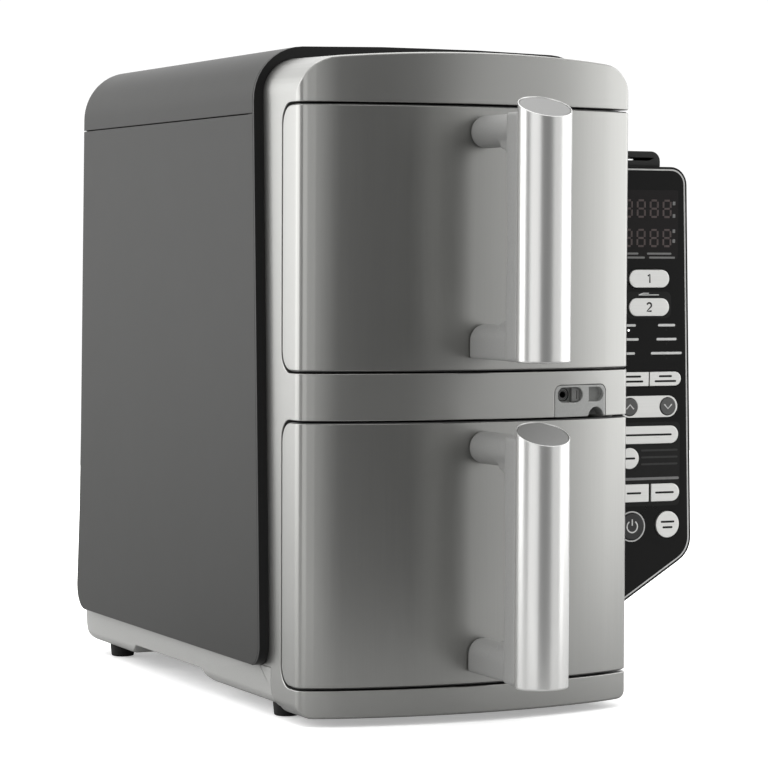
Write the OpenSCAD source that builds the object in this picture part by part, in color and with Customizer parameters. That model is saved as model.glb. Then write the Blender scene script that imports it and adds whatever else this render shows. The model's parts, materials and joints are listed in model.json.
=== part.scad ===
// Air fryer with two stacked drawers and a control panel on its right side.
// X runs to the right, Y runs to the back, Z runs up, and the feet stand on Z = 0.

/* [Cabinet] */
// Half the width of the painted steel cabinet
cabinet_half_w = 112; // [110:0.5:113]
// Height of the middle of the cabinet's arched top
cabinet_top = 387.8; // [387:0.2:388.4]
// Radius of the cabinet's two long top edges
top_edge_r = 32; // [30:1:34]
// Radius of the slight arch across the cabinet's top
top_arch_r = 2300; // [2000:100:2600]
// Height of the side panels' lower edge
panel_low_z = 29; // [27:0.5:30]
// Height of the seam between the side panels and the top cover
seam_z = 346.8; // [340:0.2:348]
// Thickness of the sheet steel
sheet_t = 1.2; // [0.8:0.1:1.4]

/* [Front] */
// Half the width of the front fascia
fascia_half_w = 106; // [105.5:0.5:106.5]
// Height of the fascia's lower edge
fascia_low_z = 4.5; // [4:0.5:6]
// Height of the middle of the fascia's arched upper edge
fascia_top_z = 381; // [380.5:0.5:381.5]
// Plan radius of the bulged front
bulge_r = 320; // [300:10:360]
// Plan radius of the fascia's front corners
front_corner_r = 10; // [9:0.5:12]
// Wall thickness of the fascia moulding
fascia_t = 3; // [2.5:0.1:3.5]

/* [Drawers] */
// Height between the two drawers
tier_pitch = 179; // [178:0.5:180]
// Height of the lower drawer's middle
lower_mid_z = 96.6; // [96:0.2:97]
// Height of each drawer's opening in the fascia
opening_h = 152.4; // [150:0.2:153]
// Width of the gap line round a drawer
gap = 1.6; // [1.2:0.1:2]
// How far the drawer front wraps back along the side
wrap_y = 44; // [42:0.5:46]
// Half the width of a pan
pan_half_w = 90; // [84:1:91]
// Y of a pan's rear wall
pan_rear_y = 278; // [260:1:280]
// Height of a pan
pan_h = 120; // [100:1:124]

/* [Handles] */
// Half the width of the handle bar
bar_a = 15.5; // [14:0.5:17]
// Half the depth of the handle bar
bar_b = 12.5; // [11:0.5:13]
// Y of the handle bar's middle
bar_y = -73; // [-74:0.5:-70]
// Slope of the cut at the bar's top
cut_slope = 0.48; // [0.4:0.02:0.55]

/* [Control panel] */
// X of the panel's outermost point, low on its leaning outer edge
panel_x1 = 171.8; // [171:0.2:172.4]
// Y of the panel's face
panel_y = 58; // [56:0.5:60]
// Depth of the panel
panel_d = 27; // [25:0.5:30]
// Height of the panel's upper edge
panel_top = 320.2; // [320:0.2:321]
// Height of the panel's lower tip
panel_low = 53.1; // [52:0.1:54]
// Travel of each key
key_travel = 0.8; // [0.6:0.1:1]

/* [Fans] */
// Radius of the hot-air impeller
impeller_r = 44; // [38:1:46]
// Radius of the motor shaft
shaft_r = 4; // [3.5:0.5:4]
// Radial clearance of the shaft in its motor
shaft_fit = 0.05; // [0.03:0.01:0.08]

/* [Hidden] */
$fn = 64;

far = 500;
fit_gap = 0.3;
steel = [0.37, 0.37, 0.35];
silver = [0.56, 0.56, 0.54];
grey = [0.55, 0.55, 0.54];
dark = [0.06, 0.06, 0.06];

// Side view of the cabinet
edge_top_y = 73.3;
edge_low_y = 61.1;
rear_top_y = 366.8;
rear_mid = [375, 146];
rear_flare = [378, 93];
rear_low = [382.7, 46];
front_low_r = 12;
rear_low_r = 15;
rim_t = 2;
rim_tongue = 10;
seam_gap = 0.5;

// Fascia and drawers
fascia_rear_y = 76;
fascia_arch_r = 1000;
fascia_top_r = 22;
fascia_low_r = 8;
fascia_rise = 2;
fascia_split_z = 200;
plate_y = wrap_y + 0.8;
front_t = 2;
frame_t = 3;
frame_rear_y = 42.6;
wrap_r = 12;
window_half_w = pan_half_w + 5;
window_half_h = 69;
screw_y = 5;

// Cooking cavities
cavity_half_w = 97.5;
cavity_half_h = 72;
cavity_t = 1;
cavity_y = plate_y + fascia_t;
cavity_rear_y = 290;
chamber_r = 68;
chamber_rear_y = 326;
pan_y = 48.4;
pan_t = 1.6;
pan_floor_dz = -66;
pan_r = 16;
rail_x = 55;
plate_dz = 9;
plate_inset = 4;

// Handles, heights measured from the drawer's middle
boss_r = 9.3;
top_boss_dz = 60.4;
low_boss_dz = -57.6;
bar_low_dz = -68;
bar_top_dz = 72;
spine_rear_y = -46;
spine_half_w = 12;
spine_r = 6;
cap_t = 3;
bar_t = 1.4;

// Fans, heaters and the cord gland
element_r = 57;
element_wire_r = 3.2;
element_leads = [-9, 9];
motor_y0 = chamber_rear_y + 3;
motor_y1 = 352;
motor_r = 29;
rotor_y0 = 298;
rotor_y1 = 362;
gland_rear_y = 384.5;
gland_x = -80;
gland_z = 55;
gland_r = 7;
gland_bore_r = 3.6;

// Probe port in the middle band
probe_x0 = 48;
probe_x1 = 86;
probe_z0 = lower_mid_z + opening_h / 2;
probe_z1 = 191.3;
probe_r = 4;
probe_rear_y = 26;
pill_x0 = 50.2;
pill_x1 = 68.4;
pill_z = 185.5;
pill_r = 4.4;
slot_y = 12;
jack_x = 57.5;
jack_r = 4.2;

// Control panel
panel_x0 = cabinet_half_w;
panel_lean = 1.3;
panel_chamfer = 31.8;
panel_tip_r = 6;
panel_low_r = 17;
panel_top_r = 11;
panel_lean_w = 4.8;
lens_t = 2;
housing_t = 2.5;
key_gap = 0.4;
key_proud = 1;
key_flange = 0.9;
board_y = panel_y + 12;
dock_x0 = 116;
dock_x1 = 149.4;
dock_h = 9.3;
dock_r = 6;
// Each key's middle and size in the panel's face: x, z, width, height, corner radius, and its round side
// where it is one half of a pair (-1 left, 1 right)
zone_1 = [140.8, 252.4, 27.8, 10.8, 5.3, 0];
zone_2 = [140.8, 235.2, 27.8, 10.8, 5.3, 0];
temp = [130, 191.6, 21.8, 8.6, 4.3, -1];
time = [152.5, 191.6, 21.8, 8.6, 4.3, 1];
up = [128.1, 174.8, 10.4, 10.4, 5.2, 0];
down = [154.5, 174.8, 10.4, 10.4, 5.2, 0];
stack = [141.2, 157.7, 41.2, 10.8, 5.3, 0];
mode = [128.1, 143.6, 12.8, 12.8, 6.4, 0];
sync = [130.7, 122.4, 21.8, 10.8, 5.4, -1];
match = [153, 122.4, 19.8, 10.8, 5.4, 1];
power = [130.2, 102.2, 15.8, 15.8, 7.9, 0];
start = [154.8, 102.8, 16.2, 16.2, 8.1, 0];
KEYS = [zone_1, zone_2, temp, time, up, down, stack, mode, sync, match, power, start];

function arc(cx, cy, r, a0, a1, n) =
    [for (i = [0:n]) [cx + r * cos(a0 + (a1 - a0) * i / n), cy + r * sin(a0 + (a1 - a0) * i / n)]];
function tier_z(tier) = lower_mid_z + tier * tier_pitch;
function edge_y(z) =
    edge_low_y + (edge_top_y - edge_low_y) * (z - panel_low_z) / (cabinet_top - panel_low_z);

// Extrudes an X-Z outline from y0 to y1
module along_y(y0, y1) {
    translate([0, y1, 0]) rotate([90, 0, 0]) linear_extrude(y1 - y0) children();
}

// Extrudes a Y-Z outline from x0 to x1
module along_x(x0, x1) {
    translate([x0, 0, 0]) rotate([90, 0, 90]) linear_extrude(x1 - x0) children();
}

// Puts the middle of the whole object's footprint on the Z axis
module standing() {
    translate([-(panel_x1 - cabinet_half_w) / 2, -(gland_rear_y + bar_y - bar_b) / 2, 0]) children();
}

module box(x0, x1, y0, y1, z0, z1) {
    translate([x0, y0, z0]) cube([x1 - x0, y1 - y0, z1 - z0]);
}

module round_rect(x0, y0, x1, y1, r) {
    translate([x0 + r, y0]) square([x1 - x0 - 2 * r, y1 - y0]);
    translate([x0, y0 + r]) square([x1 - x0, y1 - y0 - 2 * r]);
    for (x = [x0 + r, x1 - r], y = [y0 + r, y1 - r]) translate([x, y]) circle(r);
}

// ---- Outlines shared by several parts ----

module side_outline(inset) {
    polygon(concat(
        [[edge_y(cabinet_top) + inset, cabinet_top + 1]],
        arc(edge_y(panel_low_z + front_low_r) + front_low_r + inset, panel_low_z + front_low_r,
            front_low_r, 180, 270, 8),
        arc(rear_low[0] - rear_low_r, panel_low_z + rear_low_r, rear_low_r, 270, 360, 8),
        [rear_low, rear_flare, rear_mid, [rear_top_y, cabinet_top + 1]]));
}

// Upper line of a profile, from right to left: a slight arch between two rounded corners
function arched(half, top, arch_r, r, inset) =
    let (cx = half - r, mid_z = top - arch_r)
    let (cz = mid_z + sqrt(pow(arch_r - r, 2) - cx * cx), turn = asin(cx / (arch_r - r)))
    concat(arc(cx, cz, r - inset, 0, 90 - turn, 10),
        arc(0, mid_z, arch_r - inset, 90 - turn, 90 + turn, 16),
        arc(-cx, cz, r - inset, 90 + turn, 180, 10));

module cabinet_profile(inset) {
    w = cabinet_half_w - inset;
    polygon(concat([[-w, 0], [w, 0]],
        arched(cabinet_half_w, cabinet_top, top_arch_r, top_edge_r, inset)));
}

module fascia_profile(inset) {
    r = fascia_low_r - inset;
    cx = fascia_half_w - fascia_low_r;
    cz = fascia_low_z + fascia_low_r;
    polygon(concat(arc(-cx, cz, r, 180, 270, 8), arc(cx, cz, r, 270, 360, 8),
        arched(fascia_half_w, fascia_top_z, fascia_arch_r, fascia_top_r, inset)));
}

// The fascia's profile pulled back from its front, with its top rising a little towards the rear
module fascia_run(inset) {
    intersection() {
        along_y(-20, far) fascia_profile(inset);
        box(-far, far, -20, far, 0, fascia_split_z);
    }
    intersection() {
        translate([0, 0, fascia_top_z]) rotate([asin(fascia_rise / fascia_rear_y), 0, 0])
            translate([0, 0, -fascia_top_z]) along_y(-40, far) fascia_profile(inset);
        box(-far, far, -20, far, fascia_split_z, far);
    }
}

module plan_outline(inset) {
    r = front_corner_r - inset;
    kx = fascia_half_w - front_corner_r;
    ky = bulge_r - sqrt(pow(bulge_r - front_corner_r, 2) - kx * kx);
    turn = asin(kx / (bulge_r - front_corner_r));
    polygon(concat(
        [[-fascia_half_w + inset, fascia_rear_y]],
        arc(-kx, ky, r, 180, 270 - turn, 8),
        arc(0, bulge_r, bulge_r - inset, 270 - turn, 270 + turn, 16),
        arc(kx, ky, r, 270 + turn, 360, 8),
        [[fascia_half_w - inset, fascia_rear_y]]));
}

// The plan outline, run on past the rear so that it cuts right through
module hollow_outline(inset) {
    plan_outline(inset);
    translate([-fascia_half_w + inset, fascia_rear_y - 1]) square([2 * (fascia_half_w - inset), 2]);
}

// The bulged block that the fascia and both drawer fronts are cut from
module front_block(inset) {
    intersection() {
        fascia_run(inset);
        translate([0, 0, -1]) linear_extrude(far) plan_outline(inset);
    }
}

// A drawer's pocket in the side view, rounded at the back
module pocket_outline(tier, half_h, y1, r) {
    z = tier_z(tier);
    translate([-20, z - half_h]) square([20 + y1 - r, 2 * half_h]);
    translate([-20, z - half_h + r]) square([20 + y1, 2 * (half_h - r)]);
    for (s = [-1, 1]) translate([y1 - r, z + s * (half_h - r)]) circle(r);
}

module lower_seam_outline() {
    polygon(concat([[-20, 0], [47, 0]], arc(47, 20, 12, 270, 360, 6),
        [[59, panel_low_z], [fascia_rear_y, panel_low_z], [fascia_rear_y, far], [-20, far]]));
}

// ---- Cabinet ----

module cabinet_shell() {
    difference() {
        intersection() {
            along_x(-cabinet_half_w, cabinet_half_w) side_outline(rim_t);
            along_y(0, far) cabinet_profile(0);
        }
        along_y(-1, far + 1) cabinet_profile(sheet_t);
    }
}

module left_side_panel() {
    color(steel) standing() intersection() {
        cabinet_shell();
        box(-far, 0, 0, far, 0, seam_z);
    }
}

module right_side_panel() {
    color(steel) standing() intersection() {
        cabinet_shell();
        box(0, far, 0, far, 0, seam_z);
    }
}

module top_cover() {
    color(steel) standing() intersection() {
        cabinet_shell();
        box(-far, far, 0, far, seam_z + seam_gap, far);
    }
}

// The fascia's raised rear outline, which the rim's inner edge follows
module rim_cut() {
    along_y(-1, 121) translate([0, fascia_rise]) fascia_profile(0);
}

module rim_trim() {
    color(dark) standing() {
        difference() {
            intersection() {
                along_x(-cabinet_half_w, cabinet_half_w) difference() {
                    side_outline(0);
                    side_outline(rim_t);
                }
                along_y(0, 120) cabinet_profile(0);
            }
            rim_cut();
            box(-fascia_half_w, fascia_half_w, 0, 120, 0, 100);
        }
        difference() {
            intersection() {
                along_x(-cabinet_half_w, cabinet_half_w) difference() {
                    side_outline(rim_t - 0.5);
                    side_outline(rim_t + rim_tongue);
                }
                along_y(0, 120) cabinet_profile(sheet_t + 0.2);
            }
            rim_cut();
            box(-fascia_half_w, fascia_half_w, 0, 120, 0, 100);
            box(-far, far, 0, far, 0, panel_low_z + front_low_r);
        }
    }
}

module fascia() {
    web = 2.5;
    color(silver) standing() difference() {
        intersection() {
            front_block(0);
            union() {
                difference() {
                    box(-far, far, -20, far, 0, far);
                    intersection() {
                        fascia_run(fascia_t);
                        translate([0, 0, -1]) linear_extrude(far + 2) hollow_outline(fascia_t);
                    }
                }
                box(-far, far, plate_y, plate_y + fascia_t, 0, far);
                for (tier = [0, 1], s = [-1, 1])
                    box(-far, far, -20, plate_y + 1, tier_z(tier) + s * (opening_h + web) / 2 - web / 2,
                        tier_z(tier) + s * (opening_h + web) / 2 + web / 2);
            }
            along_x(-far, far) lower_seam_outline();
        }
        for (tier = [0, 1]) {
            along_x(-far, far) pocket_outline(tier, opening_h / 2, plate_y, wrap_r);
            box(-window_half_w, window_half_w, 0, far, tier_z(tier) - window_half_h,
                tier_z(tier) + window_half_h);
        }
        probe_pocket(0);
    }
}

module probe_pocket(inset) {
    height = probe_z1 - probe_z0 + 1;
    along_y(-10, probe_rear_y - inset) translate([probe_x0, probe_z0 - 1]) {
        translate([inset, 0]) square([probe_x1 - probe_x0 - 2 * inset, height - probe_r]);
        translate([probe_r, 0]) square([probe_x1 - probe_x0 - 2 * probe_r, height - inset]);
        for (x = [probe_r, probe_x1 - probe_x0 - probe_r])
            translate([x, height - probe_r]) circle(probe_r - inset);
    }
}

module pill(x0, x1, z, r) {
    translate([x0 + r, z - r]) square([x1 - x0 - 2 * r, 2 * r]);
    for (x = [x0 + r, x1 - r]) translate([x, z]) circle(r);
}

module probe_insert() {
    window_x0 = 73.1;
    window_x1 = 84;
    window_y = 15;
    notch_x = 78.6;
    notch_r = 5.8;
    color("gainsboro") standing() difference() {
        intersection() {
            front_block(0);
            probe_pocket(0.15);
            box(-far, far, -20, far, probe_z0, far);
        }
        along_y(-10, slot_y) pill(pill_x0, pill_x1, pill_z, pill_r);
        along_y(-10, window_y) union() {
            translate([window_x0, pill_z - 4.2]) square([window_x1 - 4.2 - window_x0, 8.4]);
            translate([window_x1 - 4.2, pill_z]) circle(4.2);
        }
        along_y(-10, 20) translate([notch_x, probe_z0 - 0.5]) circle(notch_r);
        along_y(-10, far) translate([jack_x, pill_z]) circle(jack_r);
    }
}

module probe_jack() {
    color(dark) standing() difference() {
        along_y(slot_y, plate_y) translate([jack_x, pill_z]) circle(jack_r);
        along_y(0, 34) translate([jack_x, pill_z]) circle(1.8);
    }
}

// The slider stands right of the jack and slides over it
module probe_slider() {
    slider_x0 = jack_x + jack_r + 0.1;
    color(grey) standing() difference() {
        along_y(8.8, slot_y - 0.3) intersection() {
            pill(pill_x0 + fit_gap, pill_x1 - fit_gap, pill_z, pill_r - fit_gap);
            translate([slider_x0, pill_z - 10]) square([20, 20]);
        }
        along_y(0, 9.6) for (i = [0:1]) translate([slider_x0 + 3 + 1.6 * i, pill_z - 2.5]) square([0.7, 5]);
    }
}

module base_tray() {
    tray_low_z = 8;
    tray_t = 3;
    tray_top = panel_low_z + 2;
    scoop_mid_y = 226;
    scoop_half = 71;
    scoop_h = 6.5;
    color("silver") standing() difference() {
        intersection() {
            along_x(-fascia_half_w, fascia_half_w)
                polygon(concat([[59, tray_top]], arc(47, 20, 12, 360, 270, 6),
                    arc(367, 22, 14, 270, 360, 6), [[381.5, tray_top]]));
            along_y(0, far) round_rect(-fascia_half_w, tray_low_z, fascia_half_w, 80, 6);
        }
        box(-80, 80, 64, 366, tray_low_z + tray_t, far);
        box(-cavity_half_w - 1, cavity_half_w + 1, 40, 366, tier_z(0) - cavity_half_h - 0.5, far);
        box(-fascia_half_w + tray_t, fascia_half_w - tray_t, 64, 372, tray_low_z + scoop_h + tray_t, far);
        box(-far, far, 0, fascia_rear_y, panel_low_z, far);
        for (s = [-1, 1])
            along_x(s > 0 ? 84 : -far, s > 0 ? far : -84)
                scoop_outline(scoop_mid_y, scoop_half, tray_low_z, scoop_h);
        for (i = [-6:6]) translate([i * 12 - 2, 190, 0]) cube([4, 60, tray_low_z + tray_t + 1]);
    }
}

module scoop_outline(mid_y, half, z, h) {
    r = 5;
    end = half - 14;
    polygon(concat([[mid_y - half, z - 2], [mid_y - half, z]], arc(mid_y - end, z + h - r, r, 150, 90, 3),
        arc(mid_y + end, z + h - r, r, 90, 30, 3), [[mid_y + half, z], [mid_y + half, z - 2]]));
}

module feet() {
    color(dark) standing() for (x = [-93, 93], y = [66, 345])
        translate([x, y, 0]) cylinder(h = 8, r1 = 7.4, r2 = 8.2);
}

// The shell's rear edge moved forward
function rear_line(inset) = [[rear_low[0] - 1 - inset, panel_low_z + 4], [rear_low[0] - inset, rear_low[1]],
    rear_flare - [inset, 0], rear_mid - [inset, 0], [rear_top_y - inset, cabinet_top]];

module rear_cover() {
    cover_t = 3;
    front = rear_line(1 + cover_t);
    slot_half_w = 52;
    slot_h = 4;
    slot_pitch = 8;
    color(dark) standing() difference() {
        intersection() {
            along_x(-far, far) polygon(concat(rear_line(1), [for (i = [4:-1:0]) front[i]]));
            along_y(0, far) cabinet_profile(sheet_t + 0.2);
        }
        for (tier = [0, 1], i = [-5:5])
            translate([-slot_half_w, 300, tier_z(tier) + i * slot_pitch - slot_h / 2])
                cube([2 * slot_half_w, 100, slot_h]);
        along_y(300, far) translate([gland_x, gland_z]) circle(gland_r);
    }
}

module cord_gland() {
    color(dark) standing() difference() {
        union() {
            along_y(370, gland_rear_y) translate([gland_x, gland_z]) circle(gland_r - 0.05);
            along_y(382, gland_rear_y) translate([gland_x, gland_z]) circle(gland_r + 2.5);
        }
        along_y(300, far) translate([gland_x, gland_z]) circle(gland_bore_r);
    }
}

module main_board() {
    board_x = 101;
    color("seagreen") standing() {
        box(board_x, board_x + 1.6, 110, 270, 70, 310);
        box(board_x + 1.6, board_x + 8, 130, 158, 100, 130);
        box(board_x + 1.6, board_x + 8, 200, 216, 90, 106);
        box(board_x + 1.6, board_x + 7, 150, 190, 200, 260);
        for (i = [0:2])
            translate([board_x + 1.6, 230, 180 + 26 * i]) rotate([0, 90, 0]) cylinder(h = 7, r = 8);
    }
}

module drawer_switches() {
    color("white") standing() for (tier = [0, 1])
        box(-cavity_half_w - 5.2, -cavity_half_w, plate_y + fascia_t + 1, plate_y + fascia_t + 21,
            tier_z(tier) - 5, tier_z(tier) + 5);
}

// ---- Cooking cavities, their heaters and fans ----

module cavity(tier) {
    z = tier_z(tier);
    color("dimgray") standing() difference() {
        union() {
            box(-cavity_half_w, cavity_half_w, cavity_y, cavity_rear_y, z - cavity_half_h, z + cavity_half_h);
            along_y(cavity_rear_y - 1, chamber_rear_y) translate([0, z]) circle(chamber_r);
        }
        difference() {
            box(-cavity_half_w + cavity_t, cavity_half_w - cavity_t, 0, cavity_rear_y - cavity_t,
                z - cavity_half_h + cavity_t, z + cavity_half_h - cavity_t);
            for (s = [-1, 1])
                box(s * rail_x - 3, s * rail_x + 3, 0, far, z - cavity_half_h, z + pan_floor_dz - fit_gap);
        }
        along_y(cavity_rear_y - 5, chamber_rear_y - cavity_t) translate([0, z]) circle(chamber_r - cavity_t);
        along_y(chamber_rear_y - 5, far) translate([0, z]) circle(10);
        for (x = element_leads) along_y(chamber_rear_y - 5, far) translate([x, z - element_r]) circle(5);
    }
}

module fan_guard(tier) {
    guard_y = cavity_rear_y - cavity_t;
    spokes = 8;
    guard_rings = [14, 26, 38, 50];
    color("silver") standing() along_y(guard_y - 1.5, guard_y) translate([0, tier_z(tier)]) {
        difference() {
            circle(chamber_r + 2);
            circle(chamber_r - 7);
        }
        for (r = guard_rings) difference() {
            circle(r + 1.2);
            circle(r - 1.2);
        }
        for (i = [0:spokes - 1]) rotate(i * 360 / spokes) translate([0, -1]) square([chamber_r - 6, 2]);
    }
}

module element(tier) {
    color("slategray") standing() translate([0, 0, tier_z(tier)]) {
        for (y = [301, 311]) translate([0, y, 0]) rotate([90, 0, 0])
            rotate_extrude() translate([element_r, 0]) circle(element_wire_r, $fn = 24);
        along_y(301, 311) translate([0, element_r]) circle(element_wire_r - 0.6, $fn = 24);
        for (x = element_leads) translate([x, 311, -element_r + 0.6]) rotate([-90, 0, 0])
            cylinder(h = 30, r = 2.4, $fn = 24);
    }
}

module motor(tier) {
    color("gray") standing() difference() {
        translate([0, 0, tier_z(tier)]) {
            along_y(motor_y0, motor_y1) circle(motor_r);
            along_y(motor_y0, motor_y0 + 2) for (a = [30, 150, 270])
                rotate(a) translate([0, -7]) square([52, 14]);
            along_y(chamber_rear_y, motor_y0 + 1) for (a = [30, 150, 270])
                rotate(a) translate([46, 0]) circle(5);
        }
        along_y(0, far) translate([0, tier_z(tier)]) circle(shaft_r + shaft_fit);
    }
}

module impeller(tier) {
    blades = 10;
    color("silver") standing() translate([0, 0, tier_z(tier)]) {
        difference() {
            union() {
                along_y(314, 315.2) circle(impeller_r);
                along_y(302, 315) circle(8);
                for (i = [0:blades - 1]) rotate([0, i * 360 / blades, 0])
                    along_y(301, 314.2) translate([16, 0]) rotate(24) square([impeller_r - 20, 1.2]);
            }
            along_y(0, far) circle(shaft_r);
        }
    }
}

// The motor shaft, with the fan that cools the motor on its rear end
module rotor(tier) {
    blades = 7;
    cooling_r = 26;
    color("black") standing() translate([0, 0, tier_z(tier)]) {
        along_y(rotor_y0, rotor_y1 - 8) circle(shaft_r);
        along_y(rotor_y1 - 8, rotor_y1) circle(8);
        for (i = [0:blades - 1]) rotate([0, i * 360 / blades, 0])
            along_y(rotor_y1 - 8, rotor_y1) translate([6, -0.6]) square([cooling_r - 6, 1.2]);
    }
}

// ---- Drawers ----

module drawer_front(tier) {
    color(silver) standing() difference() {
        intersection() {
            front_block(0);
            along_x(-far, far) pocket_outline(tier, opening_h / 2 - gap, wrap_y - gap / 2, wrap_r - 1);
        }
        translate([0, 0, -1]) linear_extrude(far + 2) plan_outline(front_t);
        screw_bores(tier);
    }
}

module screw_bores(tier) {
    along_y(-5, far) for (dz = [top_boss_dz, low_boss_dz]) translate([0, tier_z(tier) + dz]) circle(2.4);
}

module drawer_frame(tier) {
    z = tier_z(tier);
    color([0.25, 0.25, 0.25]) standing() difference() {
        union() {
            intersection() {
                linear_extrude(far) plan_outline(front_t);
                along_x(-far, far) pocket_outline(tier, opening_h / 2 - gap - 0.2, frame_rear_y, wrap_r - 1);
            }
            box(-60, 60, frame_rear_y - 8, pan_y, z - 24, z + 24);
        }
        intersection() {
            translate([0, 0, -1]) linear_extrude(far + 2) plan_outline(front_t + frame_t);
            box(-far, far, -20, frame_rear_y - 8, z - opening_h / 2 + gap + frame_t,
                z + opening_h / 2 - gap - frame_t);
        }
        screw_bores(tier);
        along_y(screw_y, far) for (dz = [top_boss_dz, low_boss_dz]) translate([0, z + dz]) circle(5);
    }
}

module pan_outline(inset) {
    round_rect(-pan_half_w + inset, pan_y + inset, pan_half_w - inset, pan_rear_y - inset, pan_r - inset);
}

module pan(tier) {
    color("darkgray") standing() translate([0, 0, tier_z(tier) + pan_floor_dz]) difference() {
        union() {
            linear_extrude(pan_h) pan_outline(0);
            translate([0, 0, pan_h - pan_t]) linear_extrude(pan_t) pan_outline(-2.5);
        }
        translate([0, 0, pan_t]) linear_extrude(pan_h) pan_outline(pan_t);
        translate([-far, 0, pan_h - 10]) cube([2 * far, pan_y, 20]);
    }
}

module crisper_plate(tier) {
    hole_r = 4.5;
    pitch_x = 26;
    pitch_y = 26;
    color("dimgray") standing() translate([0, 0, tier_z(tier) + pan_floor_dz]) difference() {
        union() {
            translate([0, 0, plate_dz]) linear_extrude(1.6) pan_outline(plate_inset);
            for (x = [-66, 66], y = [75, 250])
                translate([x, y, pan_t]) cylinder(h = plate_dz - pan_t + 0.5, r = 5);
        }
        for (i = [-2:2], j = [-3:3])
            translate([i * pitch_x, 163 + j * pitch_y, 0]) cylinder(h = 20, r = hole_r);
    }
}

// ---- Handles ----

module handle_spine(tier) {
    z = tier_z(tier);
    fillet = 9;
    top_dz = top_boss_dz + boss_r - 0.3;
    color(grey) standing() difference() {
        union() {
            difference() {
                translate([0, 0, z + bar_low_dz]) linear_extrude(top_dz - bar_low_dz)
                    round_rect(-spine_half_w, bar_y, spine_half_w, spine_rear_y, spine_r);
                translate([0, 0, z]) bar_solid(0.05, 100);
            }
            along_y(spine_rear_y - 8, 10) translate([0, z + top_boss_dz]) circle(boss_r);
            along_y(spine_rear_y - 8, 10) translate([0, z + low_boss_dz]) {
                circle(boss_r);
                translate([-boss_r, -boss_r - 1]) square([2 * boss_r, boss_r + 1]);
            }
            along_x(-7, 7) spine_fillet(z + top_boss_dz - boss_r + 0.8, -1, fillet);
            along_x(-7, 7) spine_fillet(z + low_boss_dz + boss_r - 0.8, 1, fillet);
        }
        front_cut();
        along_y(-34, 20) for (dz = [top_boss_dz, low_boss_dz]) translate([0, z + dz]) circle(1.9);
    }
}

// Everything behind the drawer front's outer face
module front_cut() {
    linear_extrude(far) plan_outline(-0.02);
}

// Quarter-round web between the spine's back and a boss
module spine_fillet(z, s, r) {
    difference() {
        translate([spine_rear_y - 1, s > 0 ? z - 1 : z - r]) square([r + 1, r + 1]);
        translate([spine_rear_y + r, z + s * r]) circle(r);
    }
}

// The bar's oval section, as a polygon
module bar_section(grow) {
    polygon([for (a = [0:7.5:352.5]) [(bar_a + grow) * cos(a), bar_y + (bar_b + grow) * sin(a)]]);
}

module bar_solid(grow, top) {
    translate([0, 0, bar_low_dz - grow]) linear_extrude(top - bar_low_dz) bar_section(grow);
}

// Side outline of everything below the slanted cut at the bar's top
module cut_outline(drop) {
    low_y = bar_y - 2 * bar_b;
    high_y = bar_y + 2 * bar_b;
    polygon([[low_y, -100], [high_y, -100], [high_y, bar_top_dz - drop + 2 * bar_b * cut_slope],
        [low_y, bar_top_dz - drop - 2 * bar_b * cut_slope]]);
}

module handle_bar(tier) {
    color("silver") standing() translate([0, 0, tier_z(tier)]) difference() {
        intersection() {
            bar_solid(0, 100);
            along_x(-far, far) cut_outline(0);
        }
        translate([0, 0, bar_low_dz + cap_t]) linear_extrude(200) bar_section(-bar_t);
    }
}

module handle_cap(tier) {
    color(grey) standing() translate([0, 0, tier_z(tier)]) intersection() {
        translate([0, 0, bar_low_dz + cap_t]) linear_extrude(200) bar_section(-bar_t);
        along_x(-far, far) difference() {
            cut_outline(0.4);
            cut_outline(cap_t);
        }
    }
}

module handle_screws(tier) {
    color("gray") standing() for (dz = [top_boss_dz, low_boss_dz]) translate([0, 0, tier_z(tier) + dz]) {
        along_y(-30, screw_y + 2.4) circle(1.85);
        along_y(screw_y, screw_y + 2.4) circle(4.5);
    }
}

// ---- Control panel ----

module panel_outline(inset) {
    x0 = panel_x0 + inset;
    tip = [panel_x0 + panel_tip_r, panel_low + panel_tip_r];
    low_x = panel_x1 - panel_low_r;
    grow = panel_low_r - panel_tip_r;
    run = (low_x - tip[0] + grow * sin(panel_chamfer)) / cos(panel_chamfer);
    low_z = tip[1] + run * sin(panel_chamfer) + grow * cos(panel_chamfer);
    polygon(concat([[x0, panel_low + inset]],
        arc(tip[0], tip[1], panel_tip_r - inset, 270, 270 + panel_chamfer, 3),
        arc(low_x, low_z, panel_low_r - inset, 270 + panel_chamfer, 360 + panel_lean, 7),
        arc(panel_x1 - panel_lean_w - panel_top_r, panel_top - panel_top_r, panel_top_r - inset,
            panel_lean, 90, 8),
        [[x0, panel_top - inset]]));
}

module key_outline(k, grow) {
    w = k[2];
    h = k[3];
    r = k[4];
    side = k[5];
    translate([k[0], k[1]])
        if (side != 0) {
            translate([side > 0 ? -w / 2 - grow : r - w / 2, -h / 2 - grow])
                square([w - r + grow, h + 2 * grow]);
            translate([side * (w / 2 - r), 0]) circle(r + grow);
        }
        else if (w > 2 * r)
            round_rect(-w / 2 - grow, -h / 2 - grow, w / 2 + grow, h / 2 + grow, r + grow);
        else
            circle(r + grow);
}

module panel_housing() {
    color([0.1, 0.1, 0.1]) standing() difference() {
        along_y(panel_y + lens_t, panel_y + panel_d) panel_outline(0);
        along_y(panel_y + lens_t - 1, panel_y + panel_d - housing_t) panel_outline(housing_t);
    }
}

module panel_lens() {
    color([0.05, 0.05, 0.05]) standing() difference() {
        along_y(panel_y, panel_y + lens_t) panel_outline(0);
        along_y(panel_y - 1, panel_y + lens_t + 1) for (k = KEYS) key_outline(k, key_gap);
    }
}

module panel_display() {
    color([0.1, 0.05, 0.05]) standing() box(119, 161, panel_y + lens_t, board_y, 264.5, 306);
}

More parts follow.
